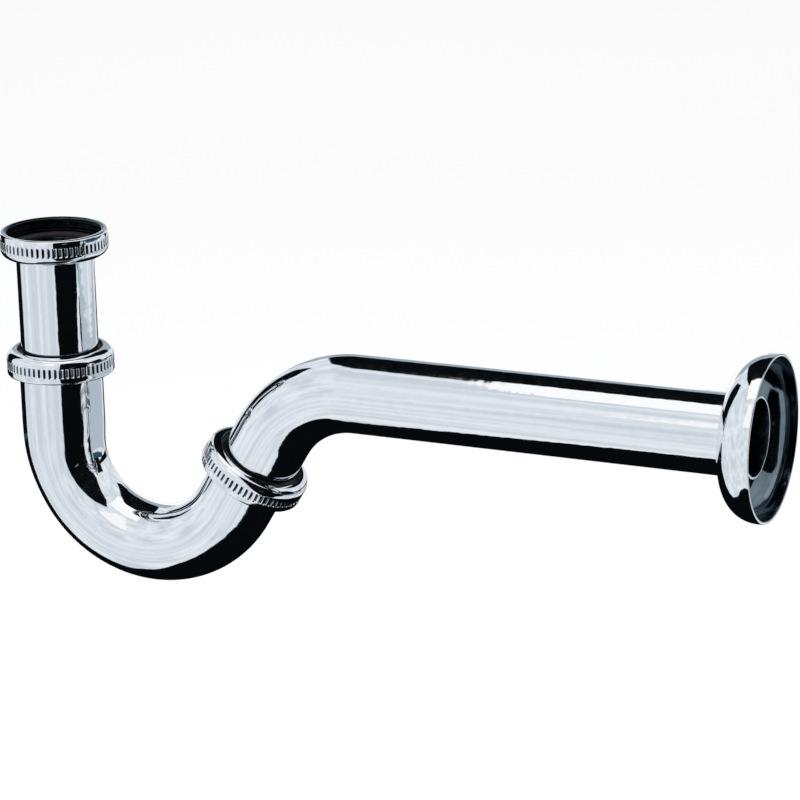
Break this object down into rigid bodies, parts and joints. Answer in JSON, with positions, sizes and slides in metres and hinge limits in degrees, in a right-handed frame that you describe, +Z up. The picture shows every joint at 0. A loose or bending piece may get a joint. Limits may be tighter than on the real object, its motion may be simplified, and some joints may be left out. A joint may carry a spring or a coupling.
{
  "type": "p trap",
  "caption": "Chrome tubular P trap: inlet tube with union nut, slip-jointed U-bend, outlet tube and wall rosette.",
  "frame": {"origin": "on the inlet axis, where the thread starts inside the mouth of the inlet nut", "axes": "+Z up along the inlet tube, out of the inlet nut's mouth; +X along the outlet tube, towards the wall"},
  "size_m": [0.3303, 0.0652, 0.1467],
  "materials": {
    "chrome": "mirror plated",
    "brass": "machined",
    "rubber": "moulded matt",
    "ring_plastic": "moulded satin"
  },
  "bodies": {
    "inlet": {"inlet_tube": "chrome", "inlet_flange": "brass", "inlet_gasket": "rubber"},
    "inlet_ring": {"inlet_slip_ring": "ring_plastic"},
    "inlet_nut": {"inlet_nut": "chrome"},
    "middle_seal": {"middle_cone_seal": "rubber"},
    "u_bend": {"u_bend_tube": "chrome", "u_bend_inlet_socket": "chrome", "u_bend_outlet_ferrule": "chrome", "lower_gasket": "rubber"},
    "middle_ring": {"middle_slip_ring": "ring_plastic"},
    "middle_nut": {"middle_nut": "chrome"},
    "lower_ring": {"lower_slip_ring": "ring_plastic"},
    "lower_nut": {"lower_nut": "chrome"},
    "outlet": {"outlet_tube": "chrome", "outlet_flange": "brass"},
    "rosette_grip": {"rosette_grip_ring": "rubber"},
    "rosette": {"wall_rosette": "chrome"}
  },
  "joints": [
    {"name": "inlet_nut_slide", "type": "slide", "parent": "inlet", "child": "inlet_ring", "axis": [0, 0, 1], "range_m": [-0.024, 0]},
    {"name": "inlet_nut_turn", "type": "hinge", "parent": "inlet_ring", "child": "inlet_nut", "pos_m": [0, 0, 0], "axis": [0, 0, 1], "continuous": true},
    {"name": "height_slide", "type": "slide", "parent": "inlet", "child": "middle_seal", "axis": [0, 0, 1], "range_m": [-0.018, 0.004]},
    {"name": "u_bend_swivel", "type": "hinge", "parent": "middle_seal", "child": "u_bend", "pos_m": [0, 0, -0.0496], "axis": [0, 0, 1], "continuous": true},
    {"name": "middle_nut_lift", "type": "slide", "parent": "u_bend", "child": "middle_ring", "axis": [0, 0, 1], "range_m": [0, 0.00693]},
    {"name": "middle_nut_turn", "type": "hinge", "parent": "middle_ring", "child": "middle_nut", "pos_m": [0, 0, -0.0496], "axis": [0, 0, 1], "range_deg": [0, 1080]},
    {"name": "lower_nut_lift", "type": "slide", "parent": "u_bend", "child": "lower_ring", "axis": [0.5105, 0, 0.8599], "range_m": [0, 0.00693]},
    {"name": "lower_nut_turn", "type": "hinge", "parent": "lower_ring", "child": "lower_nut", "pos_m": [0.07858, 0, -0.10957], "axis": [0.5105, 0, 0.8599], "range_deg": [0, 1080]},
    {"name": "outlet_swivel", "type": "hinge", "parent": "u_bend", "child": "outlet", "pos_m": [0.07858, 0, -0.10957], "axis": [0.5105, 0, 0.8599], "continuous": true},
    {"name": "rosette_slide", "type": "slide", "parent": "outlet", "child": "rosette_grip", "axis": [1, 0, 0], "range_m": [-0.15, 0]},
    {"name": "rosette_turn", "type": "hinge", "parent": "rosette_grip", "child": "rosette", "pos_m": [0.30808, 0, -0.05606], "axis": [1, 0, 0], "continuous": true}
  ],
  "couplings": [
    {"joint": "middle_nut_lift", "follows": "middle_nut_turn", "m_per_rad": 0.00036749},
    {"joint": "lower_nut_lift", "follows": "lower_nut_turn", "m_per_rad": 0.00036749}
  ]
}
